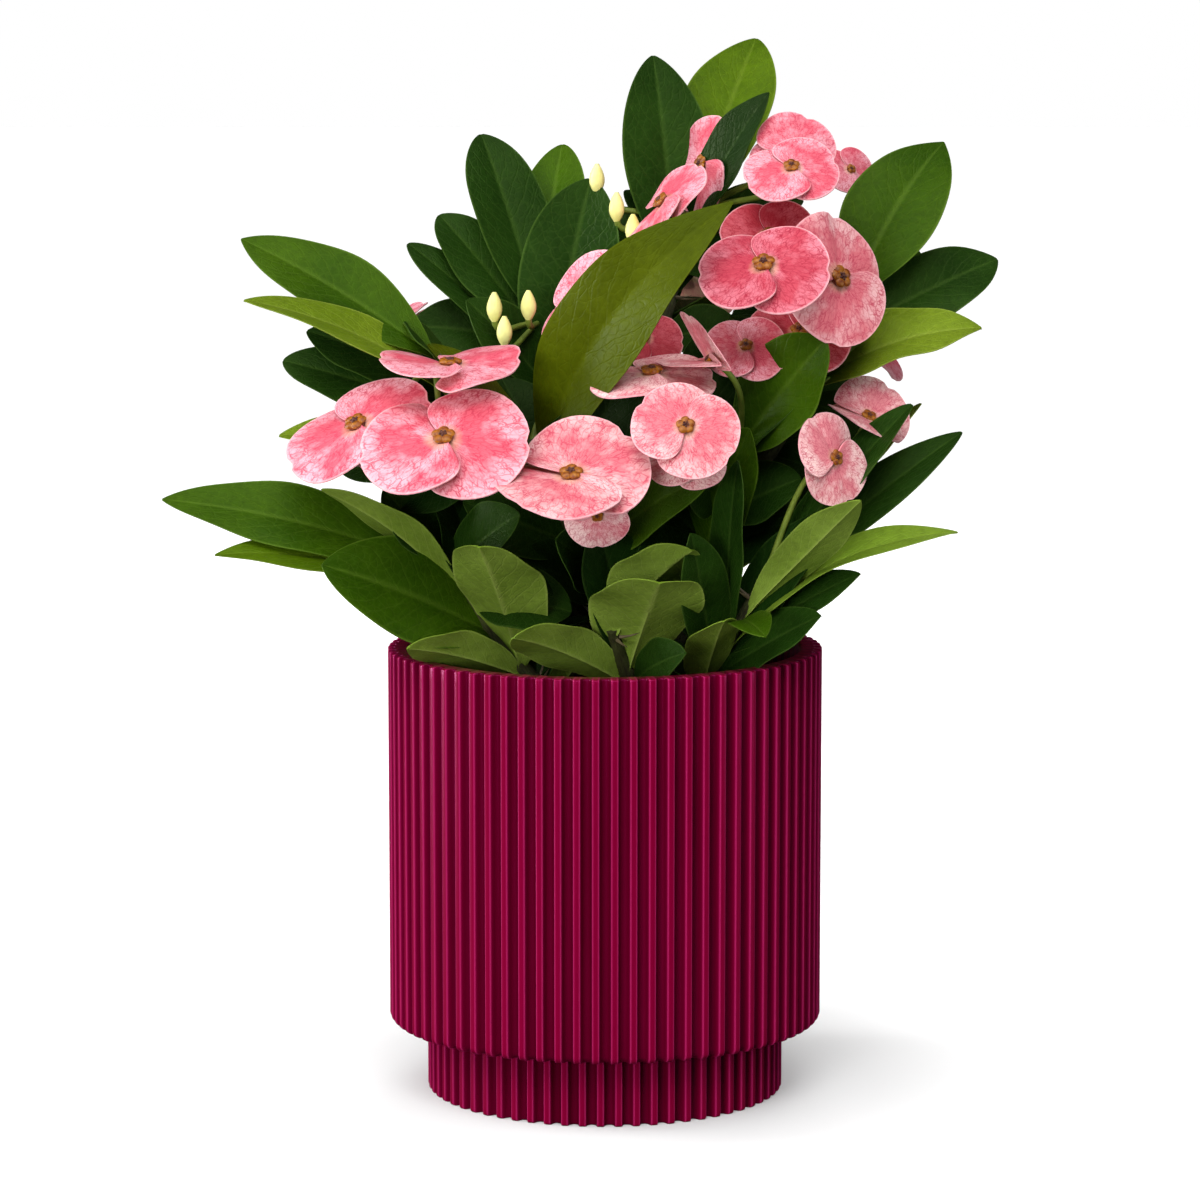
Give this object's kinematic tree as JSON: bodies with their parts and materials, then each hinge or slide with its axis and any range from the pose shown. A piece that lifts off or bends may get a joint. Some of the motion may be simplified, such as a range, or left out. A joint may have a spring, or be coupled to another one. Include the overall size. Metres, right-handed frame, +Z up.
{
  "type": "potted crown of thorns",
  "caption": "Bushy potted shrub with broad lance-shaped leaves and clusters of pink blossom, in a round pot with vertical ribs and a narrower ribbed foot.",
  "frame": {"origin": "centre of the flat underside of the pot's foot, which stands on the floor", "axes": "+Z up along the pot's axis, -Y towards the front of the crown, where most of the blossom faces, +X to the right seen from the front"},
  "size_m": [0.2676, 0.1858, 0.3376],
  "materials": {
    "pot": "satin",
    "soil": "matte",
    "bark": "matte",
    "leaf": "satin",
    "blossom": "matte"
  },
  "bodies": {
    "root": {"pot_body": "pot", "pot_foot": "pot", "soil": "soil", "main_stem": "bark", "bough_left_rear": "bark", "bough_top": "bark", "bough_right": "bark", "bough_left": "bark", "bough_centre": "bark", "bough_mid_right": "bark", "bough_left_low": "bark", "bough_right_low": "bark", "bough_front": "bark", "bough_rear_left": "bark", "bough_rear_middle": "bark", "bough_rear_right": "bark", "bough_rear_low_left": "bark", "bough_rear_low_right": "bark", "foliage_left_rear": "leaf", "foliage_top": "leaf", "foliage_right": "leaf", "foliage_left": "leaf", "foliage_centre": "leaf", "foliage_mid_right": "leaf", "foliage_left_low": "leaf", "foliage_right_low": "leaf", "foliage_front": "leaf", "foliage_rear_left": "leaf", "foliage_rear_middle": "leaf", "foliage_rear_right": "leaf", "foliage_rear_low_left": "leaf", "foliage_rear_low_right": "leaf"}
  },
  "joints": []
}
